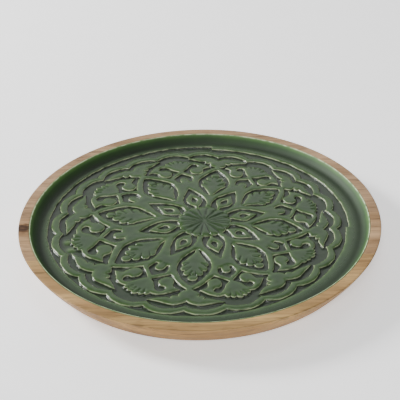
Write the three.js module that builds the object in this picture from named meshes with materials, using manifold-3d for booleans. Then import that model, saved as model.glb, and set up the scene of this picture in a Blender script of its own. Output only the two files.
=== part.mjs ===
// A round serving plate turned from edge-glued boards, with a shallow dished inside.
// The inside is coated with enamel over a floral relief of eight petals round a rosette.
// Millimetres, +Z up. The origin is the centre of the flat base, and the grain runs along X.

import * as THREE from 'three';
import { mergeVertices } from 'three/addons/utils/BufferGeometryUtils.js';
import Module from 'manifold-3d';

const wasm = await Module();
wasm.setup();

// Turned body
const RIM_RADIUS = 190;
const HEIGHT = 30;
const RIM_INNER_RADIUS = 179;
const EDGE_ROUND = 0.6;
const WALL_LOW_RADIUS = 173.7;
const WALL_LOW_HEIGHT = 5.1;
const WALL_BOW = 1.207;
const WALL_STEPS = 3;
const BASE_RADIUS = 163;
const TURN_STEPS = 72;

// Boards that are glued edge to edge before turning
const BOARD_WIDTH = 76;
const FRONT_GLUE_LINE = -153;
const BOARD_NAMES = [
  'board_front_edge', 'board_front', 'board_front_middle',
  'board_back_middle', 'board_back', 'board_back_edge',
];

// Dished inside
const MARGIN_DROP = 8.8;
const COVE_FOOT_RADIUS = 168;
const COVE_STEPS = 5;
const COVE_POWER = 2;
const CARVED_DEPTH = 2.6;

// The carved field's edge is two arcs that don't quite meet: it jogs at two angles, in degrees.
// The first arc has one radius and the second runs between two.
const LIP_JOGS = [-5.4, 84];
const LIP_FIRST_RADIUS = 157.2;
const LIP_SECOND_RADII = [162.6, 153.8];
const LIP_TAPER = 1.6;
const LIP_STEPS = 144;

// Enamel lining
const LINING_THICKNESS = 1.5;
const LINING_EDGE = 1.0;
const LINING_STEP_RADIUS = 165.5;
const GAP = 0.3;

const MARGIN_Z = HEIGHT - MARGIN_DROP;
const GROUND_Z = MARGIN_Z - CARVED_DEPTH;

// Relief, laid out about its own centre with petal axes and flower axes taking turns
const SECTORS = 8;
const SECTOR = (2 * Math.PI) / SECTORS;
const MOTIF_TURN = THREE.MathUtils.degToRad(36.1);
const FLOWER_OFFSET = -SECTOR / 2;
const RELIEF_ROOT_Z = GROUND_Z - 0.5;
const LOW_RELIEF_DROP = 0.4;
const ROSETTE_RISE = 0.3;
const ROSETTE_PETALS = 16;
const ROSETTE_RADIUS = 28.6;
const ROSETTE_NOTCH_RADIUS = 25.4;
const PETAL_GROOVE_START = 3.5;
const PETAL_GROOVE_DEPTH = 0.8;
const PETAL_GROOVE_SLOPE = 1;
const PETAL_GROOVE_CLEAR = 0.2;
const SCALLOPS = 24;
const SCALLOP_RISE = 6.2;
const BAND_INNER_RADIUS = 140;
const BAND_OUTER_RADIUS = 147.6;

// The pattern's centre is off the plate's axis one way and its border the other way. The petals
// aren't evenly spread: one error in degrees for each petal, anticlockwise from the first.
const PATTERN_CENTRE = new THREE.Vector2(5, 2);
const BORDER_CENTRE = new THREE.Vector2(-3.5, -2);
const CENTRED_RADIUS = 45;
const BORDER_RADIUS = 140;
const PETAL_ERRORS = [-0.3, 0.2, 0.2, -0.5, 2.8, 1.4, -2.5, -3.3];
const ERROR_FULL_RADIUS = 80;
const BAND_TURN = THREE.MathUtils.degToRad(0.9);
const BAND_TURN_RADII = [118, 142];

function toSolid(geometry) {
  geometry.deleteAttribute('normal');
  geometry.deleteAttribute('uv');
  const merged = mergeVertices(geometry, 1e-4);
  const mesh = new wasm.Mesh({
    numProp: 3,
    vertProperties: new Float32Array(merged.attributes.position.array),
    triVerts: new Uint32Array(merged.index.array),
  });
  return new wasm.Manifold(mesh);
}

function toGeometry(solid) {
  const mesh = solid.getMesh();
  const geometry = new THREE.BufferGeometry();
  geometry.setAttribute('position', new THREE.BufferAttribute(mesh.vertProperties, mesh.numProp));
  geometry.setIndex(new THREE.BufferAttribute(mesh.triVerts, 1));
  geometry.computeVertexNormals();
  return geometry;
}

function turned(profile) {
  const points = profile.map(([radius, z]) => new THREE.Vector2(radius, z));
  const geometry = new THREE.LatheGeometry(points, TURN_STEPS);
  geometry.rotateX(Math.PI / 2);
  return toSolid(geometry);
}

function slab(outline, low, high) {
  const shape = new THREE.Shape(outline.map(([x, y]) => new THREE.Vector2(x, y)));
  const geometry = new THREE.ExtrudeGeometry(shape, { depth: high - low, bevelEnabled: false });
  geometry.translate(0, 0, low);
  return toSolid(geometry);
}

// Curve of the cove, from its level foot up to the rim
function cove(rimRadius, footZ) {
  const points = [];
  for (let step = 0; step <= COVE_STEPS; step += 1) {
    const share = step / COVE_STEPS;
    const radius = THREE.MathUtils.lerp(COVE_FOOT_RADIUS, rimRadius, share);
    points.push([radius, THREE.MathUtils.lerp(footZ, HEIGHT, share ** COVE_POWER)]);
  }
  return points;
}

function outerWall() {
  const points = [];
  const drop = HEIGHT - WALL_LOW_HEIGHT;
  const steps = WALL_STEPS;
  for (let step = steps; step >= 1; step -= 1) {
    const share = step / steps;
    const radius = RIM_RADIUS - (RIM_RADIUS - WALL_LOW_RADIUS) * share ** WALL_BOW;
    points.push([radius, HEIGHT - drop * share]);
  }
  return points;
}

function underCurve() {
  return [[BASE_RADIUS, 0], [169.5, 1.7]];
}

function turnedBody() {
  const cavityRadius = LINING_STEP_RADIUS + GAP;
  const marginUnder = MARGIN_Z - LINING_THICKNESS - GAP;
  const groundUnder = GROUND_Z - LINING_THICKNESS - GAP;
  return turned([
    [0, 0],
    ...underCurve(),
    ...outerWall(),
    [RIM_RADIUS, HEIGHT - EDGE_ROUND],
    [RIM_RADIUS - EDGE_ROUND, HEIGHT],
    ...cove(RIM_INNER_RADIUS, marginUnder).reverse(),
    [cavityRadius, marginUnder],
    [cavityRadius, groundUnder],
    [0, groundUnder],
  ]);
}

function board(body, index) {
  const front = index === 0 ? -RIM_RADIUS - 1 : FRONT_GLUE_LINE + (index - 1) * BOARD_WIDTH + GAP / 2;
  const last = BOARD_NAMES.length - 1;
  const back = index === last ? RIM_RADIUS + 1 : FRONT_GLUE_LINE + index * BOARD_WIDTH - GAP / 2;
  const block = new THREE.BoxGeometry(2 * RIM_RADIUS + 2, back - front, HEIGHT + 2);
  block.translate(0, (front + back) / 2, HEIGHT / 2);
  return body.intersect(toSolid(block));
}

// Outlines: stretches of points that share their end points, where they meet at corners
function alongStretches(stretches) {
  return [stretches[0][0], ...stretches.flatMap((stretch) => stretch.slice(1))];
}

// A right half that starts and ends on the axis, closed with its mirror image
function mirrored(half) {
  const left = half.slice(1, -1).reverse().map(([x, y]) => [-x, y]);
  return [...half, ...left];
}

function almondHollow() {
  return mirrored(alongStretches([
    [[0, 111.5], [6.6, 104], [12.8, 95.5], [17, 86], [17.4, 78], [14.8, 69], [8.4, 59.5], [0, 50]],
  ]));
}

function palmette() {
  return mirrored(alongStretches([
    [[0, 101.8], [3.4, 100.4], [4.6, 96.8], [3.2, 93.2]],
    [[3.2, 93.2], [7, 93.8], [9.6, 90.8], [8.4, 86.4]],
    [[8.4, 86.4], [11.6, 86.2], [13.6, 82.8], [11.8, 78.4]],
    [[11.8, 78.4], [13.6, 76.6], [13.2, 73.2], [9.8, 69.6]],
    [[9.8, 69.6], [6.6, 64.2], [2.6, 57]],
    [[2.6, 57], [1.3, 46]],
    [[1.3, 46], [0, 46]],
  ]));
}

function leafPocket() {
  return mirrored(alongStretches([
    [[0, 69], [4.2, 62.5], [8.8, 53.5], [11.8, 44.5], [11.4, 35.5], [8.6, 28], [7, 24]],
    [[7, 24], [0, 24]],
  ]));
}

function leaf() {
  return mirrored(alongStretches([
    [[0, 58.5], [3.6, 53.4], [7.8, 47], [8.6, 42], [5.4, 35.6], [1.6, 30.6]],
    [[1.6, 30.6], [1.4, 26]],
    [[1.4, 26], [0, 26]],
  ]));
}

function leafHollow() {
  return mirrored(alongStretches([[[0, 50.5], [2.6, 46], [3.6, 42], [2.2, 39.4], [0, 38.6]]]));
}

function chevronCell() {
  return mirrored(alongStretches([
    [[0, 103.6], [9.8, 94.8]],
    [[9.8, 94.8], [10, 90.5], [7.4, 84]],
    [[7.4, 84], [0, 84]],
  ]));
}

function cellBoss() {
  return mirrored(alongStretches([
    [[0, 93.6], [3.2, 92.4], [4.7, 89], [4.4, 82]],
    [[4.4, 82], [0, 82]],
  ]));
}

function budAndWings() {
  return mirrored(alongStretches([
    [[0, 133.2], [5.4, 137], [12.5, 138.8], [20, 137], [28, 134.4], [36.5, 132.4]],
    [[36.5, 132.4], [28, 129.8], [20.5, 128.2], [15.5, 129]],
    [[15.5, 129], [15.8, 126.2], [12.6, 124.8], [9.2, 126.4]],
    [[9.2, 126.4], [9.6, 122.4], [7.2, 119.2], [3.2, 117]],
    [[3.2, 117], [2.8, 110]],
    [[2.8, 110], [0, 110]],
  ]));
}

function flowerAndScrolls() {
  return mirrored(alongStretches([
    [[0, 134.2], [2.6, 133.2], [3.2, 130.8]],
    [[3.2, 130.8], [5.8, 132.8], [8.7, 129.2]],
    [[8.7, 129.2], [11.4, 130.4], [13.6, 126.8]],
    [[13.6, 126.8], [20, 126.2], [26, 123], [31, 117.6], [36, 111.5]],
    [[36, 111.5], [31, 111], [27.6, 109.6], [26, 106.4], [24.8, 102.6], [21.8, 99.8], [18, 99],
      [14, 100.2], [11.4, 103.4], [10.8, 107.4], [12.4, 111.4], [15.6, 113.6], [19.4, 113]],
    [[19.4, 113], [22.4, 114.8], [22.8, 118.2], [19.8, 121.4], [15.4, 121.2], [11.4, 117.4]],
    [[11.4, 117.4], [5.8, 110.8], [2.6, 108.2]],
    [[2.6, 108.2], [2, 103]],
    [[2, 103], [0, 103]],
  ]));
}

// Petals and chevrons make one star-shaped sheet before their hollows are cut
function latticeStar() {
  const corner = [21.6, 93.6];
  const apexAngle = Math.PI / 2 - SECTOR / 2;
  const apex = [109.3 * Math.cos(apexAngle), 109.3 * Math.sin(apexAngle)];
  const side = alongStretches([[[0, 117.5], [6.2, 113], [13, 106], [17.6, 99.5], corner]]);
  const points = [];
  for (let sector = 0; sector < SECTORS; sector += 1) {
    const turn = MOTIF_TURN - Math.PI / 2 - sector * SECTOR;
    const left = side.slice(1).reverse().map(([x, y]) => [-x, y]);
    points.push(...[...left, ...side, apex].map((point) => rotated(point, turn)));
  }
  return points;
}

function scallopedRing(cuspRadius, rise, count, stepsEach, turn) {
  const points = [];
  for (let step = 0; step < count * stepsEach; step += 1) {
    const share = (step % stepsEach) / stepsEach;
    const radius = cuspRadius + rise * Math.sin(Math.PI * share);
    const angle = turn + (step / (count * stepsEach)) * 2 * Math.PI;
    points.push([radius * Math.cos(angle), radius * Math.sin(angle)]);
  }
  return points;
}

function rotated([x, y], turn) {
  return [x * Math.cos(turn) - y * Math.sin(turn), x * Math.sin(turn) + y * Math.cos(turn)];
}

function petalError(angle) {
  const place = THREE.MathUtils.euclideanModulo((angle - MOTIF_TURN) / SECTOR, SECTORS);
  const before = Math.floor(place) % SECTORS;
  const share = THREE.MathUtils.smoothstep(place - Math.floor(place), 0, 1);
  const after = (before + 1) % SECTORS;
  return THREE.MathUtils.degToRad(THREE.MathUtils.lerp(PETAL_ERRORS[before], PETAL_ERRORS[after], share));
}

// Moves a point from the true eightfold pattern to where the carver cut it
function handCarved([x, y]) {
  const radius = Math.hypot(x, y);
  const angle = Math.atan2(y, x);
  const inBand = THREE.MathUtils.smoothstep(radius, ...BAND_TURN_RADII);
  const error = petalError(angle) * Math.min(1, radius / ERROR_FULL_RADIUS);
  const cutAngle = angle + THREE.MathUtils.lerp(error, BAND_TURN, inBand);
  const outward = new THREE.Vector2(Math.cos(cutAngle), Math.sin(cutAngle));
  const share = (radius - CENTRED_RADIUS) / (BORDER_RADIUS - CENTRED_RADIUS);
  const shift = BORDER_CENTRE.clone().sub(PATTERN_CENTRE).multiplyScalar(THREE.MathUtils.clamp(share, 0, 1));
  const moved = outward.clone().multiplyScalar(radius + outward.dot(shift)).add(PATTERN_CENTRE);
  return [moved.x, moved.y];
}

function relief(outline, drop = 0) {
  return slab(outline.map(handCarved), RELIEF_ROOT_Z, MARGIN_Z - drop);
}

function hollow(outline) {
  return slab(outline.map(handCarved), GROUND_Z, HEIGHT);
}

// Repeats a motif on the petal axes, or on the flower axes with an offset
function aroundPlate(outline, offset, make) {
  const solids = [];
  for (let sector = 0; sector < SECTORS; sector += 1) {
    const turn = MOTIF_TURN - Math.PI / 2 + offset + sector * SECTOR;
    solids.push(make(outline.map((point) => rotated(point, turn))));
  }
  return solids.reduce((sum, solid) => sum.add(solid));
}

function lattice() {
  const low = (outline) => relief(outline, LOW_RELIEF_DROP);
  return relief(latticeStar())
    .subtract(aroundPlate(almondHollow(), 0, hollow))
    .subtract(aroundPlate(leafPocket(), FLOWER_OFFSET, hollow))
    .subtract(aroundPlate(chevronCell(), FLOWER_OFFSET, hollow))
    .add(aroundPlate(palmette(), 0, low))
    .add(aroundPlate(leaf(), FLOWER_OFFSET, low).subtract(aroundPlate(leafHollow(), FLOWER_OFFSET, hollow)))
    .add(aroundPlate(cellBoss(), FLOWER_OFFSET, low));
}

// V-cut between two petals of the rosette
function petalGroove(turn) {
  const start = new THREE.Vector2(...handCarved(rotated([PETAL_GROOVE_START, 0], turn)));
  const end = new THREE.Vector2(...handCarved(rotated([ROSETTE_RADIUS, 0], turn)));
  const tall = PETAL_GROOVE_DEPTH + PETAL_GROOVE_CLEAR;
  const half = tall * PETAL_GROOVE_SLOPE;
  const section = [[0, 0], [half, tall], [-half, tall]].map((point) => new THREE.Vector2(...point));
  const cut = new THREE.ExtrudeGeometry(new THREE.Shape(section), {
    depth: end.distanceTo(start), bevelEnabled: false,
  });
  cut.rotateX(Math.PI / 2);
  cut.rotateZ(end.clone().sub(start).angle() + Math.PI / 2);
  cut.translate(start.x, start.y, MARGIN_Z + ROSETTE_RISE - PETAL_GROOVE_DEPTH);
  return toSolid(cut);
}

function petalGrooves() {
  const cuts = [];
  for (let petal = 0; petal < ROSETTE_PETALS; petal += 1) {
    cuts.push(petalGroove(MOTIF_TURN + (petal * 2 * Math.PI) / ROSETTE_PETALS));
  }
  return cuts.reduce((sum, cut) => sum.add(cut));
}

function rosette() {
  const rise = ROSETTE_RADIUS - ROSETTE_NOTCH_RADIUS;
  return relief(scallopedRing(ROSETTE_NOTCH_RADIUS, rise, ROSETTE_PETALS, 4, MOTIF_TURN), -ROSETTE_RISE);
}

function borderBand() {
  const outer = scallopedRing(BAND_OUTER_RADIUS, SCALLOP_RISE, SCALLOPS, 4, MOTIF_TURN);
  const inner = scallopedRing(BAND_INNER_RADIUS, SCALLOP_RISE, SCALLOPS, 4, MOTIF_TURN);
  return relief(outer).subtract(hollow(inner));
}

function lip() {
  const firstArc = LIP_JOGS[1] - LIP_JOGS[0];
  const points = [];
  for (let step = 0; step < LIP_STEPS; step += 1) {
    const turn = (360 * (step + 0.5)) / LIP_STEPS;
    const share = Math.max(0, (turn - firstArc) / (360 - firstArc));
    const second = THREE.MathUtils.lerp(...LIP_SECOND_RADII, share ** LIP_TAPER);
    const radius = turn < firstArc ? LIP_FIRST_RADIUS : second;
    const angle = THREE.MathUtils.degToRad(turn + LIP_JOGS[0]);
    points.push([radius * Math.cos(angle), radius * Math.sin(angle)]);
  }
  return points;
}

function carvedGround() {
  return slab(lip(), GROUND_Z, HEIGHT);
}

function enamelLining() {
  const under = MARGIN_Z - LINING_THICKNESS;
  const groundUnder = GROUND_Z - LINING_THICKNESS;
  const sheet = turned([
    [0, groundUnder],
    [LINING_STEP_RADIUS, groundUnder],
    [LINING_STEP_RADIUS, under],
    ...cove(RIM_INNER_RADIUS - GAP, under),
    ...cove(RIM_INNER_RADIUS - GAP - LINING_EDGE, MARGIN_Z).reverse(),
    [0, MARGIN_Z],
  ]);
  return sheet
    .subtract(carvedGround())
    .add(lattice())
    .add(rosette())
    .subtract(petalGrooves())
    .add(borderBand())
    .add(aroundPlate(budAndWings(), 0, relief))
    .add(aroundPlate(flowerAndScrolls(), FLOWER_OFFSET, relief));
}

const wood = new THREE.MeshStandardMaterial({ color: 0xb99a72, roughness: 0.6, metalness: 0 });
const enamel = new THREE.MeshStandardMaterial({ color: 0x50644b, roughness: 0.15, metalness: 0 });

const plate = new THREE.Group();

function place(name, solid, material) {
  const mesh = new THREE.Mesh(toGeometry(solid), material);
  mesh.name = name;
  plate.add(mesh);
}

const body = turnedBody();
BOARD_NAMES.forEach((name, index) => place(name, board(body, index), wood));
place('enamel_lining', enamelLining(), enamel);

export default plate;
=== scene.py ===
"""A turned wooden plate with a hand-carved floral relief under glossy green enamel.

Shapes are worked out in millimetres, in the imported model's frame, and made in metres.
"""

import math

import bmesh
import bpy
import numpy as np
from mathutils import Matrix, Vector, noise
from mathutils.geometry import delaunay_2d_cdt
from mathutils.kdtree import KDTree


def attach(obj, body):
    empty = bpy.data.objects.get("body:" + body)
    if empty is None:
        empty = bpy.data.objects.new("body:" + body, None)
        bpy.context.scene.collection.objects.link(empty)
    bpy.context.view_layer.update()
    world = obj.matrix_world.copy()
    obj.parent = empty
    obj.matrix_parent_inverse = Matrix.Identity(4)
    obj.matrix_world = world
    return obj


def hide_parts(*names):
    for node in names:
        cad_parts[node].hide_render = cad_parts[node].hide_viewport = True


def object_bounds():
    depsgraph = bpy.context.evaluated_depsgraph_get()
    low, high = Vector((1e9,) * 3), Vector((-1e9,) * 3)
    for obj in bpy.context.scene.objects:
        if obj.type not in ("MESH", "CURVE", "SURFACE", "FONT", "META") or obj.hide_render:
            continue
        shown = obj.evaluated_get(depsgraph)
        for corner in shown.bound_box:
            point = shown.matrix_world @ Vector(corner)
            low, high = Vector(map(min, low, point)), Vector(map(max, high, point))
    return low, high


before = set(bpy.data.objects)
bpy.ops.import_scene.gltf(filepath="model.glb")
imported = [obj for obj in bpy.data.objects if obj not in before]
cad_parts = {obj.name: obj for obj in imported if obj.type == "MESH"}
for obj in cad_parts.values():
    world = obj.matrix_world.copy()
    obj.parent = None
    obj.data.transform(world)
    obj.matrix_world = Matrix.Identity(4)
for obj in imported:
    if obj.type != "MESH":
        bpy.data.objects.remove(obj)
CAD_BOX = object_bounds()
MM = 0.001

# The noise takes its offsets from the clock unless it's seeded
NOISE_SEED = 5
JITTER_SEED = 11
noise.seed_set(NOISE_SEED)

# --------------------------------------------------------------------------
# Driving dimensions, millimetres
# --------------------------------------------------------------------------
RIM_RADIUS = CAD_BOX[1].x / MM
HEIGHT = CAD_BOX[1].z / MM
RIM_INNER_RADIUS = 179.0
WALL_LOW_RADIUS = 173.7
WALL_LOW_HEIGHT = 5.1
WALL_BOW = 1.207
BASE_RADIUS = 163.0
RIM_EDGE = ((0.0, 0.7), (0.1, 0.35), (0.35, 0.1), (0.8, 0.0))  # inward and down from the corner
RIM_TOP_RADII = (187.5, 180.5)
INNER_EDGE = ((0.5, 0.0), (0.1, 0.1))  # outward and down from the rim's inner corner
TURN_STEPS = 480
UNDER_STEPS = 6
WALL_STEPS = 12

BOARDS = (
    "board_front_edge", "board_front", "board_front_middle",
    "board_back_middle", "board_back", "board_back_edge",
)
BOARD_WIDTH = 76.0
FRONT_GLUE_LINE = -153.0
GLUE_GAP = 0.04

MARGIN_DROP = 8.8
MARGIN_Z = HEIGHT - MARGIN_DROP
COVE_FOOT_RADIUS = 168.0
COVE_POWER = 2.0
COVE_STEPS = 14
COVE_UNDER_STEPS = 8
LIP_JOGS = (-5.4, 84.0)
LIP_RADII = (157.2, 162.6, 153.8)
LIP_TAPER = 1.6
CARVED_DEPTH = 2.6
GROUND_Z = MARGIN_Z - CARVED_DEPTH
LINING_THICKNESS = 1.5
LINING_EDGE = 1.0
# The third number of each row is pale wear with painted highlight along the lining's edge
LINING_EDGE_ROUND = ((0.0, 0.7, 0.4), (0.08, 0.2, 1.0), (0.4, 0.0, 1.0))  # outward, down, wear
LINING_STEP_RADIUS = 165.5
LINING_GAP = 0.3

SECTORS = 8
SECTOR = 2 * math.pi / SECTORS
MOTIF_TURN = math.radians(36.1)
UP = math.pi / 2
FLOWER_OFFSET = -SECTOR / 2
CENTRE = np.array([5.0, 2.0])
BORDER_CENTRE = np.array([-3.5, -2.0])
CENTRED_RADIUS = 45.0
BORDER_RADIUS = 140.0
PETAL_ERRORS = np.radians([-0.3, 0.2, 0.2, -0.5, 2.8, 1.4, -2.5, -3.3])
ERROR_FULL_RADIUS = 80.0
BAND_TURN = math.radians(0.9)
BAND_TURN_RADII = (118.0, 142.0)

ROSETTE_PETALS = 16
ROSETTE_NOTCH_RADIUS = 25.4
ROSETTE_PETAL_RISE = 3.2
ROSETTE_HEIGHT = 0.3
ROSETTE_REACH = 29.5
PETAL_SIDE_FALL = 0.4
PETAL_SIDE_RADII = (3, 16)
PETAL_TIP_FALL = 0.5
PETAL_TIP_RADII = (22, 29)
EYE_FALL = 0.5
EYE_RADIUS = 9
PETAL_CUT_RADII = (3.5, 25.6)
PETAL_CUT_WIDTHS = (0.4, 0.65)
PETAL_CUT_DEPTH = 0.7
SCALLOPS = 24
SCALLOP_RISE = 6.2
SCALLOP_FULLNESS = 0.8
BAND_INNER_RADIUS = 140.0
BAND_OUTER_RADIUS = 147.6
APEX_RADIUS = 109.3
LOW_RELIEF_DROP = 0.4

# Hand work: size, height and seed of each kind of random mark
TOOL_MARKS = ((7.0, 0.14, 1.0), (2.4, 0.05, 4.0))
EDGE_WANDER = (9.0, 0.7, 0)
EDGE_CHIPS = (2.6, 0.28, 7)
FIELD_SEED = 3.0
LIP_SEED = 5.0
RIPPLE_GAIN = 1.6
GROUND_MARKS_SHARE = 0.5
MARGIN_MARKS_SHARE = 0.3

# Mounds left in the ground beside the left flower: angle in degrees, radius and width
LUMPS = ((192, 136.5, 3.6), (198.5, 135.5, 4.2))
LUMP_HEIGHT = 1.0
# Pale wear with painted highlight on the mounds
LUMP_WEAR_AND_GLINT = 0.12

# Section of a carved wall, from the ground up: outward offset and share of the height
WALL_SECTION = ((0.45, 0.0), (0.2, 0.16), (0.08, 0.5), (-0.02, 0.82), (-0.44, 1.0))
# For each rung: pale wear with painted highlight, strongest at the arris; then depth of colour, with
# painted shade low on the wall
WALL_WEAR_AND_GLINT = (0.0, 0.0, 0.35, 0.9, 0.04)
WALL_COAT_AND_SHADE = (0.25, 0.0, 0.0, 0.7, 1.0)
SHORTEST_MITRE = 0.8
LONGEST_MITRE = 1.5
PULL_BACK = 0.6
PULL_BACK_ROUNDS = 6
SHOULDER_WIDTH = 2.6
SHOULDER_DROP = 0.4
FILLET_WIDTH = 1.8
FILLET_RISE = 0.3

# Enamel's depth of colour on the ground, on the tops and in the V-cuts; the darkening at the foot of
# each wall and in the V-cuts is painted shade
GROUND_COAT = 0.45
WALL_FOOT_PAINTED_SHADE = 0.8
WALL_FOOT_SHADE_REACH = 1.2
THIN_REACH = 3.0
GROOVE_SHADE = 0.75

OUTLINE_STEP = 1.25
GROOVE_STEP = 1.5
GROOVE_REACH = 16
FIELD_STEP = 1.5
FIELD_JITTER = 0.25
FIELD_EDGE = 1.2
FIELD_CLEARANCE = 0.9
LEAST_DOUBLE_AREA = 0.02
MERGE_DISTANCE = 0.001


# --------------------------------------------------------------------------
# Small helpers
# --------------------------------------------------------------------------
def smoothstep(low, high, value):
    share = np.clip((value - low) / (high - low), 0.0, 1.0)
    return share * share * (3 - 2 * share)


def wobble(points, size, amount, seed):
    """Smooth random offsets, one vector for each 2D point."""
    rows = [noise.noise_vector((x / size, y / size, seed)) for x, y in points]
    return np.array(rows)[:, :2] * amount


def ripple(points, size, seed):
    """Smooth random heights from about -1 to 1, one for each 2D point."""
    rows = [noise.noise((x / size, y / size, seed)) for x, y in points]
    return np.array(rows) * RIPPLE_GAIN


def mesh_object(name, verts, faces, smooth=True):
    mesh = bpy.data.meshes.new(name)
    mesh.from_pydata([tuple(v) for v in verts], [], faces)
    mesh.update()
    mesh.polygons.foreach_set("use_smooth", [smooth] * len(mesh.polygons))
    piece = bpy.data.objects.new(name, mesh)
    bpy.context.scene.collection.objects.link(piece)
    return piece


# --------------------------------------------------------------------------
# Outlines of the carving: petal axes and flower axes point up in them
# --------------------------------------------------------------------------
def spline(knots, steps=8):
    """Catmull-Rom curve through the knots."""
    knots = np.array(knots, float)
    if len(knots) == 2:
        return knots
    padded = np.vstack([knots[0], knots, knots[-1]])
    points = []
    for i in range(len(knots) - 1):
        p0, p1, p2, p3 = padded[i:i + 4]
        for step in range(steps):
            t = step / steps
            points.append(
                0.5 * (2 * p1 + (p2 - p0) * t + (2 * p0 - 5 * p1 + 4 * p2 - p3) * t ** 2
                       + (3 * p1 - p0 - 3 * p2 + p3) * t ** 3)
            )
    return np.vstack([points, knots[-1:]])


def even_steps(line, spacing):
    """The same line with evenly spaced points, its ends kept."""
    lengths = np.hypot(*np.diff(line, axis=0).T)
    along = np.concatenate([[0], np.cumsum(lengths)])
    count = max(1, round(along[-1] / spacing))
    places = np.linspace(0, along[-1], count + 1)
    return np.column_stack([np.interp(places, along, line[:, i]) for i in (0, 1)])


def half_outline(*stretches):
    """Smooth stretches that meet at corners, without repeated points."""
    lines = [even_steps(spline(stretch), OUTLINE_STEP) for stretch in stretches]
    return np.vstack([lines[0]] + [line[1:] for line in lines[1:]])


def mirrored(half):
    """Closes a right half, which starts and ends on the axis, with its mirror image."""
    left = half[1:-1][::-1] * [-1, 1]
    return np.vstack([half, left])


def almond_hollow():
    return mirrored(half_outline(
        [(0, 111.5), (6.6, 104), (12.8, 95.5), (17, 86), (17.4, 78), (14.8, 69), (8.4, 59.5), (0, 50)],
    ))


def palmette():
    return mirrored(half_outline(
        [(0, 101.8), (3.4, 100.4), (4.6, 96.8), (3.2, 93.2)],
        [(3.2, 93.2), (7, 93.8), (9.6, 90.8), (8.4, 86.4)],
        [(8.4, 86.4), (11.6, 86.2), (13.6, 82.8), (11.8, 78.4)],
        [(11.8, 78.4), (13.6, 76.6), (13.2, 73.2), (9.8, 69.6)],
        [(9.8, 69.6), (6.6, 64.2), (2.6, 57)],
        [(2.6, 57), (1.5, 50), (1.3, 46)],
        [(1.3, 46), (0, 46)],
    ))


def leaf_pocket():
    return mirrored(half_outline(
        [(0, 69), (4.2, 62.5), (8.8, 53.5), (11.8, 44.5), (11.4, 35.5), (8.6, 28), (7, 24)],
        [(7, 24), (0, 24)],
    ))


def leaf():
    return mirrored(half_outline(
        [(0, 58.5), (3.6, 53.4), (7.8, 47), (8.6, 42), (5.4, 35.6), (1.6, 30.6)],
        [(1.6, 30.6), (1.4, 26)],
        [(1.4, 26), (0, 26)],
    ))


def leaf_hollow():
    return mirrored(half_outline([(0, 50.5), (2.6, 46), (3.6, 42), (2.2, 39.4), (0, 38.6)]))


def chevron_cell():
    return mirrored(half_outline(
        [(0, 103.6), (9.8, 94.8)],
        [(9.8, 94.8), (10, 90.5), (7.4, 84)],
        [(7.4, 84), (0, 84)],
    ))


def cell_boss():
    return mirrored(half_outline(
        [(0, 93.6), (3.2, 92.4), (4.7, 89), (4.4, 82)],
        [(4.4, 82), (0, 82)],
    ))


def bud_and_wings():
    return mirrored(half_outline(
        [(0, 133.2), (5.4, 137), (12.5, 138.8), (20, 137), (28, 134.4), (36.5, 132.4)],
        [(36.5, 132.4), (28, 129.8), (20.5, 128.2), (15.5, 129)],
        [(15.5, 129), (15.8, 126.2), (12.6, 124.8), (9.2, 126.4)],
        [(9.2, 126.4), (9.6, 122.4), (7.2, 119.2), (3.2, 117)],
        [(3.2, 117), (2.8, 110)],
        [(2.8, 110), (0, 110)],
    ))


def flower_and_scrolls():
    return mirrored(half_outline(
        [(0, 134.2), (2.6, 133.2), (3.2, 130.8)],
        [(3.2, 130.8), (5.8, 132.8), (8.2, 131.6), (8.7, 129.2)],
        [(8.7, 129.2), (11.4, 130.4), (13.4, 128.8), (13.6, 126.8)],
        [(13.6, 126.8), (20, 126.2), (26, 123), (31, 117.6), (36, 111.5)],
        [(36, 111.5), (31, 111), (27.6, 109.6), (26, 106.4), (24.8, 102.6), (21.8, 99.8), (18, 99),
         (14, 100.2), (11.4, 103.4), (10.8, 107.4), (12.4, 111.4), (15.6, 113.6), (19.4, 113)],
        [(19.4, 113), (22.4, 114.8), (22.8, 118.2), (19.8, 121.4), (15.4, 121.2), (11.4, 117.4)],
        [(11.4, 117.4), (9, 113.8), (5.8, 110.8), (2.6, 108.2)],
        [(2.6, 108.2), (2, 103)],
        [(2, 103), (0, 103)],
    ))


def lattice_star():
    """Petals and chevrons as one star-shaped sheet, its hollows not yet cut."""
    corner = (21.6, 93.6)
    apex_angle = UP - SECTOR / 2
    apex = (APEX_RADIUS * math.cos(apex_angle), APEX_RADIUS * math.sin(apex_angle))
    half = half_outline(
        [(0, 117.5), (6.2, 113), (13, 106), (17.6, 99.5), corner],
        [corner, apex],
    )
    lobe = np.vstack([half[1:][::-1] * [-1, 1], half[:-1]])
    return np.vstack([turned(lobe, -k * SECTOR) for k in range(SECTORS)])


def scalloped_ring(cusp_radius, rise, count):
    """A ring of round lobes between sharp cusps."""
    steps = round(2 * math.pi * cusp_radius / count / OUTLINE_STEP)
    place = np.arange(count * steps)
    radius = cusp_radius + rise * np.sin(math.pi * (place % steps) / steps) ** SCALLOP_FULLNESS
    angle = UP + 2 * math.pi * place / (count * steps)
    return np.column_stack([radius * np.cos(angle), radius * np.sin(angle)])


def lip():
    """Edge of the carved field, with the two jogs where the router's cut didn't meet itself."""
    count = round(2 * math.pi * LIP_RADII[0] / OUTLINE_STEP)
    turn = 360 * (np.arange(count) + 0.5) / count
    first_arc = LIP_JOGS[1] - LIP_JOGS[0]
    share = np.clip((turn - first_arc) / (360 - first_arc), 0, 1)
    second = LIP_RADII[1] + (LIP_RADII[2] - LIP_RADII[1]) * share ** LIP_TAPER
    radius = np.where(turn < first_arc, LIP_RADII[0], second)
    angle = np.radians(turn + LIP_JOGS[0])
    return np.column_stack([radius * np.cos(angle), radius * np.sin(angle)])


def turned(points, angle):
    """The points turned anticlockwise about the origin."""
    c, s = math.cos(angle), math.sin(angle)
    return points @ np.array([[c, s], [-s, c]])


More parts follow.
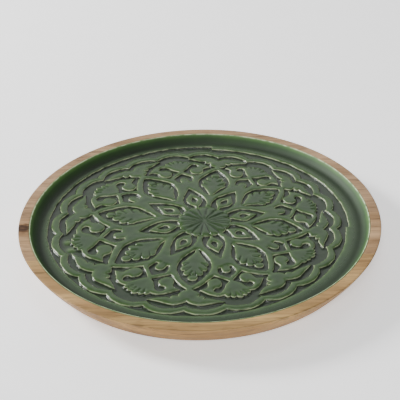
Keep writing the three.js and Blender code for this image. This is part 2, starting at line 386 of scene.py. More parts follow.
def petal_error(angle):
    """How far off its true angle the carver cut the pattern there."""
    place = ((angle - MOTIF_TURN) / SECTOR) % SECTORS
    before = np.floor(place).astype(int) % SECTORS
    share = smoothstep(0, 1, place - np.floor(place))
    return PETAL_ERRORS[before] * (1 - share) + PETAL_ERRORS[(before + 1) % SECTORS] * share


def hand_carved(points):
    """Moves points of the true eightfold pattern to where the carver cut them: its centre is off
    the plate's axis one way, and its border the other way."""
    radius = np.hypot(*points.T)
    angle = np.arctan2(points[:, 1], points[:, 0])
    in_band = smoothstep(*BAND_TURN_RADII, radius)
    error = petal_error(angle) * np.minimum(1, radius / ERROR_FULL_RADIUS)
    angle = angle + error * (1 - in_band) + BAND_TURN * in_band
    out = np.column_stack([np.cos(angle), np.sin(angle)])
    share = np.clip((radius - CENTRED_RADIUS) / (BORDER_RADIUS - CENTRED_RADIUS), 0, 1)
    radius = radius + share * (out @ (BORDER_CENTRE - CENTRE))
    return CENTRE + out * radius[:, None]


def around(shape, offset=0.0):
    """The shape in all eight sectors, as carved."""
    turns = [MOTIF_TURN - UP + offset + k * SECTOR for k in range(SECTORS)]
    return [hand_carved(turned(shape, turn)) for turn in turns]


def once(shape):
    """A shape that already goes all the way round, as carved."""
    return [hand_carved(turned(shape, MOTIF_TURN - UP))]


def gouged(outline, first_seed):
    """A hand-cut edge: long wander and small chips."""
    cut = outline
    for size, amount, seed in (EDGE_WANDER, EDGE_CHIPS):
        cut = cut + wobble(outline, size, amount, first_seed + seed)
    return cut


# --------------------------------------------------------------------------
# The carved field: one triangulated sheet with raised and sunk regions
# --------------------------------------------------------------------------
RAISED, SUNK = 1, -1


def carving_layers():
    """Outlines in cutting order: each says whether it raises or sinks what it encloses, and the
    height of its top above the ground."""
    full = CARVED_DEPTH
    low = CARVED_DEPTH - LOW_RELIEF_DROP
    band = scalloped_ring(BAND_OUTER_RADIUS, SCALLOP_RISE, SCALLOPS)
    band_inside = scalloped_ring(BAND_INNER_RADIUS, SCALLOP_RISE, SCALLOPS)
    rosette = scalloped_ring(ROSETTE_NOTCH_RADIUS, ROSETTE_PETAL_RISE, ROSETTE_PETALS)
    layers = [
        (once(band), RAISED, full),
        (once(band_inside), SUNK, 0),
        (once(lattice_star()), RAISED, full),
        (around(almond_hollow()), SUNK, 0),
        (around(leaf_pocket(), FLOWER_OFFSET), SUNK, 0),
        (around(chevron_cell(), FLOWER_OFFSET), SUNK, 0),
        (around(palmette()), RAISED, low),
        (around(leaf(), FLOWER_OFFSET), RAISED, low),
        (around(leaf_hollow(), FLOWER_OFFSET), SUNK, 0),
        (around(cell_boss(), FLOWER_OFFSET), RAISED, low),
        (around(bud_and_wings()), RAISED, full),
        (around(flower_and_scrolls(), FLOWER_OFFSET), RAISED, full),
        (once(rosette), RAISED, full + ROSETTE_HEIGHT),
    ]
    return [
        ([gouged(outline, FIELD_SEED) for outline in outlines], way, top)
        for outlines, way, top in layers
    ]


def grooves():
    """V-cuts in the raised parts: start, end, half width at each of them, and depth."""
    cuts = []

    def pair(start, end, widths, depth, offset):
        for side in (-1, 1):
            line = np.array([start, end], float) * [side, 1]
            cuts.extend((*ends, *widths, depth) for ends in around(line, offset))

    fade = (1.0, 0.4)
    pair((3.0, 93.4), (1.6, 88.5), fade, 1.0, 0)
    pair((8.2, 86.6), (4.2, 82.5), fade, 1.0, 0)
    pair((11.5, 78.6), (6.6, 75.0), fade, 1.0, 0)
    pair((0, 93.6), (3.2, 93.2), (0.8, 0.9), 0.7, 0)
    pair((3.1, 131), (2.4, 126.5), fade, 0.9, FLOWER_OFFSET)
    pair((8.5, 129.4), (6.8, 125.0), fade, 0.9, FLOWER_OFFSET)
    for k in range(ROSETTE_PETALS):
        line = np.array([(radius, 0.0) for radius in PETAL_CUT_RADII])
        ends = hand_carved(turned(line, MOTIF_TURN + k * 2 * math.pi / ROSETTE_PETALS))
        cuts.append((*ends, *PETAL_CUT_WIDTHS, PETAL_CUT_DEPTH))
    return cuts


def inside(outline, points):
    """Which of the points an outline encloses."""
    low, high = outline.min(axis=0), outline.max(axis=0)
    near = np.where(((points >= low) & (points <= high)).all(axis=1))[0]
    x, y = points[near].T
    crossed = np.zeros(len(near), bool)
    for (x0, y0), (x1, y1) in zip(outline, np.roll(outline, -1, axis=0)):
        if y0 != y1:
            spans = (y0 > y) != (y1 > y)
            crossed ^= spans & (x < (x1 - x0) * (y - y0) / (y1 - y0) + x0)
    found = np.zeros(len(points), bool)
    found[near[crossed]] = True
    return found


def groove_depth(points, cuts):
    """How deep the V-cuts are at each point."""
    depth = np.zeros(len(points))
    for start, end, start_width, end_width, deepest in cuts:
        near = np.where((np.abs(points - (start + end) / 2) < GROOVE_REACH).all(axis=1))[0]
        along = end - start
        share = np.clip((points[near] - start) @ along / (along @ along), 0, 1)
        away = np.hypot(*(points[near] - start - share[:, None] * along).T)
        half_width = start_width + (end_width - start_width) * share
        cut = deepest * half_width / max(start_width, end_width) * np.clip(1 - away / half_width, 0, 1)
        depth[near] = np.maximum(depth[near], cut)
    return depth


def field_points(lines):
    """A jittered triangular grid over the field, clear of the outlines."""
    rng = np.random.default_rng(JITTER_SEED)
    columns = np.arange(-COVE_FOOT_RADIUS, COVE_FOOT_RADIUS, FIELD_STEP)
    rows = np.arange(-COVE_FOOT_RADIUS, COVE_FOOT_RADIUS, FIELD_STEP * math.sqrt(3) / 2)
    x, y = np.meshgrid(columns, rows)
    x = x + (np.arange(len(rows)) % 2)[:, None] * FIELD_STEP / 2
    jitter = rng.uniform(-FIELD_JITTER, FIELD_JITTER, (x.size, 2))
    points = np.column_stack([x.ravel(), y.ravel()]) + jitter
    points = points[np.hypot(*points.T) < COVE_FOOT_RADIUS - FIELD_EDGE]
    taken = {(int(a), int(b)) for a, b in np.floor(np.vstack(lines) / FIELD_CLEARANCE)}
    keep = []
    for i, (a, b) in enumerate(np.floor(points / FIELD_CLEARANCE).astype(int)):
        if not any((a + da, b + db) in taken for da in (-1, 0, 1) for db in (-1, 0, 1)):
            keep.append(i)
    return points[keep]


def triangulated(closed, opened, hull):
    """Constrained triangulation of the outlines, the grooves, the outer circle and a field."""
    verts = []
    edges = []
    for line in [hull, *closed]:
        first = len(verts)
        verts.extend(line)
        edges.extend((first + i, first + (i + 1) % len(line)) for i in range(len(line)))
    for line in opened:
        first = len(verts)
        verts.extend(line)
        edges.extend((first + i, first + i + 1) for i in range(len(line) - 1))
    verts.extend(field_points([hull, *closed, *opened]))
    out = delaunay_2d_cdt([Vector(v) for v in verts], edges, [], 0, MERGE_DISTANCE)
    points = np.array([tuple(v) for v in out[0]])
    triangles = np.array([f for f in out[2] if len(f) == 3])
    return points, triangles


def groove_lines(cuts):
    """Three lines for each groove: its bottom and its two edges."""
    lines = []
    for start, end, start_width, end_width, _ in cuts:
        along = (end - start) / np.hypot(*(end - start))
        across = np.outer([start_width, end_width], [-along[1], along[0]])
        for shift in (-1, 0, 1):
            lines.append(even_steps(np.array([start, end]) + shift * across, GROOVE_STEP))
    return lines


def region_tops(triangles, points, layers, lip_line):
    """Height of each triangle above the ground, zero where it is sunk."""
    centres = points[triangles].mean(axis=1)
    tops = np.zeros(len(triangles))
    for outlines, way, top in layers:
        for outline in outlines:
            tops[inside(outline, centres)] = top if way == RAISED else 0.0
    tops[~inside(lip_line, centres)] = CARVED_DEPTH
    return tops


def double_area(points, triangles):
    """Twice each triangle's area, negative where its corners run clockwise."""
    a, b, c = (points[triangles[:, i]] for i in range(3))
    return (b[:, 0] - a[:, 0]) * (c[:, 1] - a[:, 1]) - (b[:, 1] - a[:, 1]) * (c[:, 0] - a[:, 0])


def wound(points, triangles):
    """The triangles with all their corners counter-clockwise."""
    return np.where(double_area(points, triangles)[:, None] < 0, triangles[:, ::-1], triangles)


def edges_between(triangles, raised):
    """Edges of raised triangles, in their order, where the other side is sunk."""
    sunk_edges = {(int(t[i]), int(t[(i + 1) % 3])) for t in triangles[~raised] for i in range(3)}
    found = []
    for tri in triangles[raised]:
        for i in range(3):
            start, end = int(tri[i]), int(tri[(i + 1) % 3])
            if (end, start) in sunk_edges:
                found.append((start, end))
    return np.array(found)


def outward_offsets(points, wall_edges, wall):
    """Direction away from the raised side at each wall point, longer at sharp corners."""
    run = points[wall_edges[:, 1]] - points[wall_edges[:, 0]]
    normal = np.column_stack([run[:, 1], -run[:, 0]]) / np.hypot(*run.T)[:, None]
    outward = np.zeros((len(points), 2))
    for end in (0, 1):
        np.add.at(outward, wall_edges[:, end], normal)
    length = np.hypot(*outward.T)
    outward[wall] /= np.maximum(length[wall], SHORTEST_MITRE)[:, None] ** 2
    outward[wall] *= 2
    size = np.hypot(*outward.T)
    too_long = size > LONGEST_MITRE
    outward[too_long] *= (LONGEST_MITRE / size[too_long])[:, None]
    return outward


def distance_to(points, chosen):
    """Distance from each point to the nearest chosen one."""
    tree = KDTree(int(chosen.sum()))
    for i in np.where(chosen)[0]:
        tree.insert((*points[i], 0), int(i))
    tree.balance()
    return np.array([tree.find((x, y, 0))[2] for x, y in points])


def carved_sheet():
    """Vertices, faces, surface values and the outer circle's vertices of the carved face."""
    layers = carving_layers()
    lip_line = gouged(lip(), LIP_SEED)
    cuts = grooves()
    circle = 2 * math.pi * np.arange(TURN_STEPS) / TURN_STEPS
    hull = COVE_FOOT_RADIUS * np.column_stack([np.cos(circle), np.sin(circle)])
    closed = [lip_line] + [outline for outlines, _, _ in layers for outline in outlines]
    points, triangles = triangulated(closed, groove_lines(cuts), hull)
    tops = region_tops(triangles, points, layers, lip_line)
    raised = tops > 0
    triangles = wound(points, triangles)

    # walls stand where a raised triangle meets a sunk one
    count = len(points)
    height_sum = np.bincount(triangles[raised].ravel(), np.repeat(tops[raised], 3), count)
    height_n = np.bincount(triangles[raised].ravel(), minlength=count)
    sunk_n = np.bincount(triangles[~raised].ravel(), minlength=count)
    top_height = height_sum / np.maximum(height_n, 1)
    wall = (height_n > 0) & (sunk_n > 0)
    wall_edges = edges_between(triangles, raised)
    outward = outward_offsets(points, wall_edges, wall)
    reach = clear_reach(points, triangles, raised, outward, wall)
    from_wall = distance_to(points, wall)

    # tops fall to rounded shoulders, the ground rises in a fillet, and both have tool marks
    marks = sum(height * ripple(points, size, seed) for size, height, seed in TOOL_MARKS)
    in_field = inside(lip_line, points) | wall
    hand_work = np.where(in_field, 1.0, MARGIN_MARKS_SHARE)
    marks *= hand_work
    fillet = FILLET_RISE * (1 - smoothstep(0, FILLET_WIDTH, from_wall))
    ground = GROUND_Z + GROUND_MARKS_SHARE * marks + fillet
    lumps = leftover_lumps(points)
    ground += lumps
    shoulder = SHOULDER_DROP * (1 - smoothstep(0, SHOULDER_WIDTH, from_wall)) * hand_work
    cut_depth = groove_depth(points, cuts)
    crown = GROUND_Z + top_height + marks - shoulder - cut_depth - petal_fall(points)

    verts = []
    values = []
    sunk_index = np.full(count, -1)
    raised_index = np.full(count, -1)
    columns = {}
    for i in range(count):
        if wall[i]:
            rungs = []
            for (offset, share), wear_and_glint, coat_and_shade in zip(WALL_SECTION, WALL_WEAR_AND_GLINT, WALL_COAT_AND_SHADE):
                x, y = points[i] + outward[i] * offset * reach[i]
                rungs.append(len(verts))
                verts.append((x, y, ground[i] * (1 - share) + crown[i] * share))
                values.append((wear_and_glint, coat_and_shade, share))
            columns[i] = rungs
            sunk_index[i] = rungs[0]
            raised_index[i] = rungs[-1]
        else:
            on_top = height_n[i] > 0
            sunk_index[i] = raised_index[i] = len(verts)
            verts.append((*points[i], crown[i] if on_top else ground[i]))
            # Tops: thin enamel brighter near the walls, painted shade in the V-cuts; ground: painted
            # shade along the foot of each wall
            thin = math.exp(-from_wall[i] / THIN_REACH)
            coat_and_shade = 1.0 - GROOVE_SHADE * min(1.0, cut_depth[i])
            top_values = (0.0, coat_and_shade, thin * coat_and_shade)
            wall_foot_shade = 1 - WALL_FOOT_PAINTED_SHADE * math.exp(-from_wall[i] / WALL_FOOT_SHADE_REACH)
            ground_coat_and_shade = min(1.0, GROUND_COAT * wall_foot_shade + lumps[i])
            values.append(top_values if on_top else (LUMP_WEAR_AND_GLINT * lumps[i], ground_coat_and_shade, lumps[i]))
    faces = [tuple(int(raised_index[v]) for v in tri) for tri in triangles[raised]]
    faces += [tuple(int(sunk_index[v]) for v in tri) for tri in triangles[~raised]]
    for start, end in wall_edges:
        first, second = columns[int(start)], columns[int(end)]
        for rung in range(len(WALL_SECTION) - 1):
            faces.append((first[rung], second[rung], second[rung + 1], first[rung + 1]))
    return verts, faces, values, outer_circle(points, raised_index)


def petal_fall(points):
    """How far the rosette falls away to the petals' sides, to their tips and in the middle."""
    local = points - CENTRE
    radius = np.hypot(*local.T)
    turn = (np.arctan2(local[:, 1], local[:, 0]) - MOTIF_TURN) * ROSETTE_PETALS / (2 * math.pi)
    side = np.abs(turn - np.floor(turn) - 0.5) * 2
    to_sides = PETAL_SIDE_FALL * side ** 2 * smoothstep(*PETAL_SIDE_RADII, radius)
    to_tips = PETAL_TIP_FALL * smoothstep(*PETAL_TIP_RADII, radius)
    in_middle = EYE_FALL * (1 - smoothstep(0, EYE_RADIUS, radius))
    return (to_sides + to_tips + in_middle) * (radius < ROSETTE_REACH)


def leftover_lumps(points):
    """Two soft mounds that the carver left in the ground beside the left flower."""
    height = np.zeros(len(points))
    for angle, radius, width in LUMPS:
        turn = math.radians(angle)
        place = BORDER_CENTRE + radius * np.array([math.cos(turn), math.sin(turn)])
        height += LUMP_HEIGHT * np.exp(-(np.hypot(*(points - place).T) / width) ** 2)
    return height


def clear_reach(points, triangles, raised, outward, wall):
    """Share of the wall section's offset that each point can take without folding a triangle."""
    reach = np.ones(len(points))
    ends = (WALL_SECTION[-1][0], WALL_SECTION[0][0])
    for _ in range(PULL_BACK_ROUNDS):
        folded = np.zeros(len(points), bool)
        for is_raised, offset in zip((True, False), ends):
            tris = triangles[raised == is_raised]
            moved = points + outward * (offset * reach * wall)[:, None]
            folded[tris[double_area(moved, tris) < LEAST_DOUBLE_AREA].ravel()] = True
        reach[folded & wall] *= PULL_BACK
    return reach


def outer_circle(points, raised_index):
    """The sheet's outermost vertices, in order round the circle."""
    radius = np.hypot(*points.T)
    on_circle = np.where(radius > COVE_FOOT_RADIUS - 0.01)[0]
    angle = np.arctan2(points[on_circle, 1], points[on_circle, 0]) % (2 * math.pi)
    # an angle just short of a full turn belongs at the start
    order = on_circle[np.argsort(np.round(angle, 5) % round(2 * math.pi, 5))]
    return [int(raised_index[i]) for i in order]


# --------------------------------------------------------------------------
# Lining: the carved sheet, the cove, and the underside that closes it
# --------------------------------------------------------------------------
def cove(rim_radius, foot_z, steps):
    """Section of the cove, from its level foot up to the rim."""
    share = np.linspace(0, 1, steps + 1)
    radius = COVE_FOOT_RADIUS + (rim_radius - COVE_FOOT_RADIUS) * share
    return list(zip(radius, foot_z + (HEIGHT - foot_z) * share ** COVE_POWER))


def enamel_lining():
    verts, faces, values, ring = carved_sheet()
    under = MARGIN_Z - LINING_THICKNESS
    ground_under = GROUND_Z - LINING_THICKNESS
    outer_radius = RIM_INNER_RADIUS - LINING_GAP
    inner_radius = outer_radius - LINING_EDGE
    upward = cove(inner_radius, MARGIN_Z, COVE_STEPS)[1:-1]
    downward = cove(outer_radius, under, COVE_UNDER_STEPS)[::-1]
    section = [(r, z, 0.0) for r, z in upward]
    section += [(inner_radius + out, HEIGHT - down, wear_and_glint) for out, down, wear_and_glint in LINING_EDGE_ROUND]
    section += [(r, z, 0.0) for r, z in downward]
    section += [(LINING_STEP_RADIUS, under, 0.0), (LINING_STEP_RADIUS, ground_under, 0.0)]
    angles = 2 * math.pi * np.arange(TURN_STEPS) / TURN_STEPS
    previous = ring
    for radius, z, wear_and_glint in section:
        first = len(verts)
        verts.extend((radius * math.cos(a), radius * math.sin(a), z) for a in angles)
        values.extend([(wear_and_glint, 1.0, wear_and_glint)] * TURN_STEPS)
        current = list(range(first, first + TURN_STEPS))
        for i in range(TURN_STEPS):
            j = (i + 1) % TURN_STEPS
            faces.append((previous[i], current[i], current[j], previous[j]))
        previous = current
    faces.append(tuple(previous)[::-1])
    piece = mesh_object("enamel_lining_cast", np.array(verts) * MM, faces)
    for name, column in zip(SURFACE_VALUES, np.array(values).T):
        attribute = piece.data.attributes.new(name, "FLOAT", "POINT")
        attribute.data.foreach_set("value", column)
    return piece


# --------------------------------------------------------------------------
# Turned body, cut into its boards
# --------------------------------------------------------------------------
def body_section():
    """Section of the turned body: base, wall, rim, cove and the recess for the lining."""
    drop = HEIGHT - WALL_LOW_HEIGHT
    section = [(BASE_RADIUS, 0.0)]
    slope = math.atan2(drop, (RIM_RADIUS - WALL_LOW_RADIUS) * WALL_BOW)
    bend = WALL_LOW_HEIGHT / (1 - math.cos(slope))
    reach = bend * math.sin(slope)
    for step in range(1, UNDER_STEPS):
        angle = slope * step / UNDER_STEPS
        section.append((
            WALL_LOW_RADIUS - reach + bend * math.sin(angle),
            bend * (1 - math.cos(angle)),
        ))
    for step in range(WALL_STEPS, 0, -1):
        share = step / WALL_STEPS
        radius = RIM_RADIUS - (RIM_RADIUS - WALL_LOW_RADIUS) * share ** WALL_BOW
        section.append((radius, HEIGHT - drop * share))
    section += [(RIM_RADIUS - inward, HEIGHT - down) for inward, down in RIM_EDGE]
    section += [(radius, HEIGHT) for radius in np.linspace(*RIM_TOP_RADII, 4)]
    section += [(RIM_INNER_RADIUS + outward, HEIGHT - down) for outward, down in INNER_EDGE]
    under = MARGIN_Z - LINING_THICKNESS - LINING_GAP
    ground_under = GROUND_Z - LINING_THICKNESS - LINING_GAP
    section += cove(RIM_INNER_RADIUS, under, COVE_UNDER_STEPS)[::-1][1:]
    recess_radius = LINING_STEP_RADIUS + LINING_GAP
    section += [(recess_radius, under), (recess_radius, ground_under)]
    return section


def turned_body():
    section = body_section()
    body = bmesh.new()
    rings = []
    for radius, z in section:
        rings.append([
            body.verts.new((radius * math.cos(a), radius * math.sin(a), z))
            for a in 2 * math.pi * np.arange(TURN_STEPS) / TURN_STEPS
        ])
    for lower, upper in zip(rings, rings[1:]):
        for i in range(TURN_STEPS):
            j = (i + 1) % TURN_STEPS
            body.faces.new((lower[i], lower[j], upper[j], upper[i]))
    body.faces.new(rings[0][::-1])
    body.faces.new(rings[-1])
    return body


def wood_board(body, index):
    """One board: the part of the turned body between two glue lines."""
    part = body.copy()
    front = FRONT_GLUE_LINE + (index - 1) * BOARD_WIDTH + GLUE_GAP / 2
    back = FRONT_GLUE_LINE + index * BOARD_WIDTH - GLUE_GAP / 2
    cuts = []
    if index > 0:
        cuts.append((front, -1))
    if index < len(BOARDS) - 1:
        cuts.append((back, 1))
    for place, way in cuts:
        geometry = part.verts[:] + part.edges[:] + part.faces[:]
        cut = bmesh.ops.bisect_plane(
            part, geom=geometry, plane_co=(0, place, 0), plane_no=(0, way, 0), clear_outer=True,
        )["geom_cut"]
        edges = [e for e in cut if isinstance(e, bmesh.types.BMEdge)]
        bmesh.ops.contextual_create(part, geom=edges)
    bmesh.ops.recalc_face_normals(part, faces=part.faces[:])
    bmesh.ops.scale(part, vec=(MM, MM, MM), verts=part.verts[:])
    mesh = bpy.data.meshes.new(BOARDS[index] + "_turned")
    part.to_mesh(mesh)
    part.free()
    mesh.polygons.foreach_set("use_smooth", [True] * len(mesh.polygons))
    mesh.set_sharp_from_angle(angle=math.radians(40))
    piece = bpy.data.objects.new(mesh.name, mesh)
    bpy.context.scene.collection.objects.link(piece)
    return piece


# --------------------------------------------------------------------------
# Materials
# --------------------------------------------------------------------------
# Early and late wood of each board, front to back
WOOD_TINTS = (
    ((0.25, 0.145, 0.058), (0.55, 0.360, 0.145)),
    ((0.26, 0.148, 0.060), (0.56, 0.365, 0.155)),
    ((0.28, 0.165, 0.080), (0.56, 0.370, 0.205)),
    ((0.28, 0.170, 0.090), (0.55, 0.370, 0.220)),
    ((0.28, 0.170, 0.090), (0.55, 0.370, 0.220)),
    ((0.27, 0.165, 0.085), (0.54, 0.365, 0.210)),
)
WOOD_SPECULAR = 0.2
# Wood darker towards the bottom of the plate and lighter at the rim, by height
WOOD_HEIGHT_TONES = ((0.0, (0.74, 0.62, 0.48)), (0.93, (0.94, 0.86, 0.74)), (0.99, 1.0))
KNOTTY_BOARD = 2
KNOT_PLACE = (-0.1850, -0.0190)
KNOT_SIZE = (0.017, 0.0135)

# Values that each vertex of the lining carries: wear with painted highlight on the arrises, depth of
# colour with painted shade at the wall feet and in the V-cuts, and thin enamel on a top
SURFACE_VALUES = ("wear_and_glint", "depth_and_shade", "thin")
ENAMEL_POOLED_AND_SHADED = (0.006, 0.009, 0.006)
ENAMEL_THICK = (0.026, 0.052, 0.020)
ENAMEL_THINNED = (0.044, 0.096, 0.024)
ENAMEL_WORN_AND_GLINT = (0.66, 0.74, 0.46)
ENAMEL_IOR = 1.52
COVE_GREENS = (
    (0.0, (0.007, 0.019, 0.004)), (0.5, (0.017, 0.058, 0.008)), (1.0, (0.09, 0.22, 0.05)),
)
COVE_BLEND = (-9.0, 3.0)
COVE_ROUGHNESS = 0.64


class Nodes:
    """A material's node tree, with short calls to add and link nodes."""

    def __init__(self, name):
        self.material = bpy.data.materials.new(name)
        self.material.use_nodes = True
        self.tree = self.material.node_tree
        self.shader = self.tree.nodes["Principled BSDF"]

    def add(self, kind, **settings):
        node = self.tree.nodes.new(kind)
        for key, value in settings.items():
            setattr(node, key, value)
        return node

    def link(self, source, target):
        self.tree.links.new(source, target)

    def coordinates(self, scale=(1, 1, 1), location=(0, 0, 0)):
        place = self.add("ShaderNodeTexCoord")
        mapping = self.add("ShaderNodeMapping")
        mapping.inputs["Scale"].default_value = scale
        mapping.inputs["Location"].default_value = location
        self.link(place.outputs["Object"], mapping.inputs["Vector"])
        return mapping.outputs["Vector"]

    def noise(self, vector, scale, detail=4, roughness=0.5, distortion=0.0):
        node = self.add("ShaderNodeTexNoise")
        node.inputs["Scale"].default_value = scale
        node.inputs["Detail"].default_value = detail
        node.inputs["Roughness"].default_value = roughness
        node.inputs["Distortion"].default_value = distortion
        self.link(vector, node.inputs["Vector"])
        return node.outputs["Fac"]

    def grain(self, along, across, offset, **settings):
        """Noise drawn out along X: how many waves it has in a metre along and across."""
        place = self.coordinates(scale=(along, across, across), location=offset)
        return self.noise(place, 1.0, **settings)

    def ramp(self, value, *stops):
        """A colour, or a grey from a number, at each of the stops."""
        node = self.add("ShaderNodeValToRGB")
        elements = node.color_ramp.elements
        while len(elements) < len(stops):
            elements.new(1.0)
        for element, (place, colour) in zip(elements, stops):
            element.position = place
            element.color = (*colour, 1) if isinstance(colour, tuple) else (colour,) * 3 + (1,)
        self.link(value, node.inputs["Fac"])
        return node.outputs["Color"]

    def mix(self, share, first, second, blend="MIX"):
        """Mixed colours: sockets 0, 6 and 7 are the share and the two colours."""
        node = self.add("ShaderNodeMix", data_type="RGBA", blend_type=blend)
        for socket, value in ((0, share), (6, first), (7, second)):
            if isinstance(value, bpy.types.NodeSocket):
                self.link(value, node.inputs[socket])
            elif socket == 0:
                node.inputs[socket].default_value = value
            else:
                node.inputs[socket].default_value = (*value, 1)
        return node.outputs[2]

    def math(self, operation, first, second):
        node = self.add("ShaderNodeMath", operation=operation)
        for socket, value in ((0, first), (1, second)):
            if isinstance(value, bpy.types.NodeSocket):
                self.link(value, node.inputs[socket])
            else:
                node.inputs[socket].default_value = value
        return node.outputs[0]

    def bump(self, height, distance, strength=1.0, under=None):
        node = self.add("ShaderNodeBump")
        node.inputs["Distance"].default_value = distance
        node.inputs["Strength"].default_value = strength
        self.link(height, node.inputs["Height"])
        if under is not None:
            self.link(under, node.inputs["Normal"])
        return node.outputs["Normal"]

    def height_on_plate(self):
        """Z as a share of the plate's height."""
        split = self.add("ShaderNodeSeparateXYZ")
        self.link(self.coordinates(scale=(1, 1, 1 / (HEIGHT * MM))), split.inputs[0])
        return split.outputs["Z"]


def knotted(wood, colour):
    """Darkens the wood round the knot, more so at the knot's edge."""
    away = wood.add("ShaderNodeVectorMath", operation="LENGTH")
    scale = (1 / KNOT_SIZE[0], 1 / KNOT_SIZE[1], 0)
    location = (-KNOT_PLACE[0] / KNOT_SIZE[0], -KNOT_PLACE[1] / KNOT_SIZE[1], 0)
    wood.link(wood.coordinates(scale=scale, location=location), away.inputs[0])
    ragged = wood.noise(wood.coordinates(scale=(1, 2, 1)), 160, detail=3)
    reach = wood.math("ADD", away.outputs["Value"], wood.math("MULTIPLY", ragged, 0.6))
    shade = wood.ramp(
        reach,
        (0.3, (0.30, 0.26, 0.25)), (0.6, (0.13, 0.10, 0.09)), (0.85, (0.55, 0.48, 0.42)), (1.0, 1.0),
    )
    return wood.mix(1.0, colour, shade, "MULTIPLY")


def wood_material(name, early, late, offset, has_knot):
    """Turned wood with its grain along X: broad figure, fibres, pores, flecks and blotches."""
    wood = Nodes(name)
    figure = wood.grain(2.2, 38, offset, detail=6, roughness=0.62, distortion=0.5)
    fibre = wood.grain(14, 420, offset, detail=3, roughness=0.6)
    pores = wood.grain(60, 900, offset, detail=2)
    flecks = wood.grain(30, 180, offset, detail=2)
    blotches = wood.noise(wood.coordinates(location=offset), 16, detail=3)
    pits = wood.ramp(pores, (0.3, 0.4), (0.4, 1.0))
    layers = (
        (0.85, wood.ramp(fibre, (0.35, 0.7), (0.62, 1.04))),
        (0.8, pits),
        (0.75, wood.ramp(flecks, (0.31, 0.55), (0.4, 1.0))),
        (1.0, wood.ramp(blotches, (0.35, (0.86, 0.83, 0.80)), (0.65, (1.08, 1.06, 1.04)))),
        (1.0, wood.ramp(wood.height_on_plate(), *WOOD_HEIGHT_TONES)),
    )
    colour = wood.ramp(figure, (0.3, early), (0.68, late))
    for share, shade in layers:
        colour = wood.mix(share, colour, shade, "MULTIPLY")
    if has_knot:
        colour = knotted(wood, colour)
    wood.link(colour, wood.shader.inputs["Base Color"])
    rough = wood.ramp(fibre, (0.3, 0.5), (0.7, 0.66))
    wood.link(rough, wood.shader.inputs["Roughness"])
    wood.shader.inputs["Specular IOR Level"].default_value = WOOD_SPECULAR
    pitted = wood.bump(pits, 0.0003, 0.5)
    wood.link(wood.bump(fibre, 0.0004, 0.35, pitted), wood.shader.inputs["Normal"])
    return wood.material


def mapped(nodes, value, low, high, **settings):
    """The value as a share of the way from low to high."""
    node = nodes.add("ShaderNodeMapRange", **settings)
    node.inputs["From Min"].default_value = low
    node.inputs["From Max"].default_value = high
    nodes.link(value, node.inputs["Value"])
    return node.outputs["Result"]


def cove_share(enamel):
    """How far a place is over from the carved field to the cove, by its radius."""
    reach = enamel.add("ShaderNodeVectorMath", operation="LENGTH")
    enamel.link(enamel.coordinates(scale=(1, 1, 0)), reach.inputs[0])
    low, high = ((COVE_FOOT_RADIUS + shift) * MM for shift in COVE_BLEND)
    return mapped(enamel, reach.outputs["Value"], low, high, interpolation_type="SMOOTHSTEP")


def cove_colour(enamel):
    """Enamel darker at the cove's foot and brighter towards its top, by height."""
    climb = mapped(enamel, enamel.height_on_plate(), MARGIN_Z / HEIGHT, 1.0)
    return enamel.ramp(climb, *COVE_GREENS)


def field_colour(enamel, thin, depth_and_shade):
    """Enamel that is brighter where it is thin on the tops, and dark on the sunk ground, where pooled
    enamel and painted shade at the foot of the walls and in the V-cuts darken it.
    """
    on_top = enamel.mix(thin, ENAMEL_THICK, ENAMEL_THINNED)
    return enamel.mix(enamel.ramp(depth_and_shade, (0.0, 0.0), (0.9, 1.0)), ENAMEL_POOLED_AND_SHADED, on_top)


def enamel_material():
    """Cast enamel: pale on the arrises, partly wear and partly painted highlight; dark where it pools,
    with painted shade at the foot of the walls.
    """
    enamel = Nodes("green_enamel")
    place = enamel.coordinates()
    wear_and_glint, depth_and_shade, thin = (
        enamel.add("ShaderNodeAttribute", attribute_name=name).outputs["Fac"]
        for name in SURFACE_VALUES
    )
    in_cove = cove_share(enamel)
    colour = enamel.mix(in_cove, field_colour(enamel, thin, depth_and_shade), cove_colour(enamel))
    cloud = enamel.noise(place, 45, detail=3)
    tint = enamel.ramp(cloud, (0.3, (0.84, 0.86, 0.9)), (0.7, (1.12, 1.1, 1.0)))
    colour = enamel.mix(1.0, colour, tint, "MULTIPLY")
    # Pale arris lines: partly wear, partly painted highlight
    broken = enamel.ramp(enamel.noise(place, 130, detail=3), (0.34, 0.2), (0.58, 1.0))
    worn_and_glint = enamel.math("MULTIPLY", wear_and_glint, broken)
    enamel.link(enamel.mix(worn_and_glint, colour, ENAMEL_WORN_AND_GLINT), enamel.shader.inputs["Base Color"])
    gloss = enamel.ramp(enamel.noise(place, 300, detail=2), (0.3, 0.14), (0.7, 0.22))
    rough = enamel.mix(in_cove, gloss, (COVE_ROUGHNESS,) * 3)
    enamel.link(rough, enamel.shader.inputs["Roughness"])
    enamel.shader.inputs["IOR"].default_value = ENAMEL_IOR
    waves = enamel.bump(enamel.noise(place, 110, detail=2), 0.0006, 0.25)
    enamel.link(waves, enamel.shader.inputs["Normal"])
    return enamel.material


# --------------------------------------------------------------------------
# Build, in metres and watts
# --------------------------------------------------------------------------
FLOOR_SIZE = 12.0
FLOOR_GLOW = 0.75
STUDIO_GLOW = 0.28
# Name, place, size and power of each light
LIGHTS = (
    ("key_left", (-2.2, 1.0, 1.3), (0.7, 0.7), 126),
    ("overhead", (0.2, 0.6, 2.6), (1.4, 1.0), 8),
    ("front_glint", (-0.3, -1.9, 1.8), (0.5, 0.3), 22),
    ("back_veil", (0.0, 2.7, 1.7), (3.4, 1.6), 12),
)
CAMERA_ELEVATION = math.radians(33.18)
CAMERA_DISTANCE = 5.5718  # in rim radii
CAMERA_AIM = (0.0047, 0.1527)  # in rim radii
CAMERA_ROLL = math.radians(-1.156)
CAMERA_LENS = 90.09


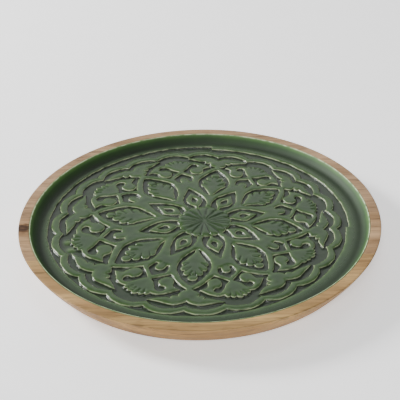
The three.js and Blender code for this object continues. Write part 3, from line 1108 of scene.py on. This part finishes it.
def build_boards():
    body = turned_body()
    for index, name in enumerate(BOARDS):
        piece = wood_board(body, index)
        early, late = WOOD_TINTS[index]
        offset = (0.37 * index, 1.9 * index, 0.8 * index)
        material = wood_material("wood_" + name, early, late, offset, index == KNOTTY_BOARD)
        piece.data.materials.append(material)
        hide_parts(name)
        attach(piece, "root")
    body.free()


def build_lining():
    piece = enamel_lining()
    piece.data.materials.append(enamel_material())
    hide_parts("enamel_lining")
    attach(piece, "root")


def build_floor():
    half = FLOOR_SIZE / 2
    corners = [(-half, -half, 0), (half, -half, 0), (half, half, 0), (-half, half, 0)]
    floor = mesh_object("floor", corners, [(0, 1, 2, 3)], smooth=False)
    ground = Nodes("pale_floor")
    speck = ground.noise(ground.coordinates(), 30, detail=2)
    ground.link(ground.ramp(speck, (0.2, 0.86), (0.8, 0.9)), ground.shader.inputs["Base Color"])
    ground.shader.inputs["Roughness"].default_value = 0.7
    ground.shader.inputs["Emission Color"].default_value = (1, 1, 1, 1)
    ground.shader.inputs["Emission Strength"].default_value = FLOOR_GLOW
    floor.data.materials.append(ground.material)


def build_camera():
    radius = RIM_RADIUS * MM
    rim_z = HEIGHT * MM
    distance = CAMERA_DISTANCE * radius
    back = -distance * math.cos(CAMERA_ELEVATION)
    place = Vector((0, back, rim_z + distance * math.sin(CAMERA_ELEVATION)))
    aim = Vector((CAMERA_AIM[0] * radius, CAMERA_AIM[1] * radius, rim_z))
    data = bpy.data.cameras.new("camera")
    data.lens = CAMERA_LENS
    data.sensor_width = 36.0
    data.clip_start = 0.05
    camera = bpy.data.objects.new("camera", data)
    turn = (aim - place).to_track_quat("-Z", "Y").to_matrix()
    roll = Matrix.Rotation(CAMERA_ROLL, 3, "Z")
    camera.matrix_world = Matrix.Translation(place) @ (turn @ roll).to_4x4()
    bpy.context.scene.collection.objects.link(camera)
    bpy.context.scene.camera = camera


def area_light(name, place, size, power):
    """A rectangular light that points at the plate's base."""
    data = bpy.data.lights.new(name, "AREA")
    data.shape = "RECTANGLE"
    data.size, data.size_y = size
    data.energy = power
    light = bpy.data.objects.new(name, data)
    light.location = place
    light.rotation_euler = (Vector((0, 0, 0)) - Vector(place)).to_track_quat("-Z", "Y").to_euler()
    bpy.context.scene.collection.objects.link(light)


def build_lights():
    world = bpy.data.worlds.new("studio")
    world.use_nodes = True
    background = world.node_tree.nodes["Background"]
    background.inputs["Color"].default_value = (1, 1, 1, 1)
    background.inputs["Strength"].default_value = STUDIO_GLOW
    bpy.context.scene.world = world
    for light in LIGHTS:
        area_light(*light)


build_camera()
build_lights()
build_floor()
build_boards()
build_lining()
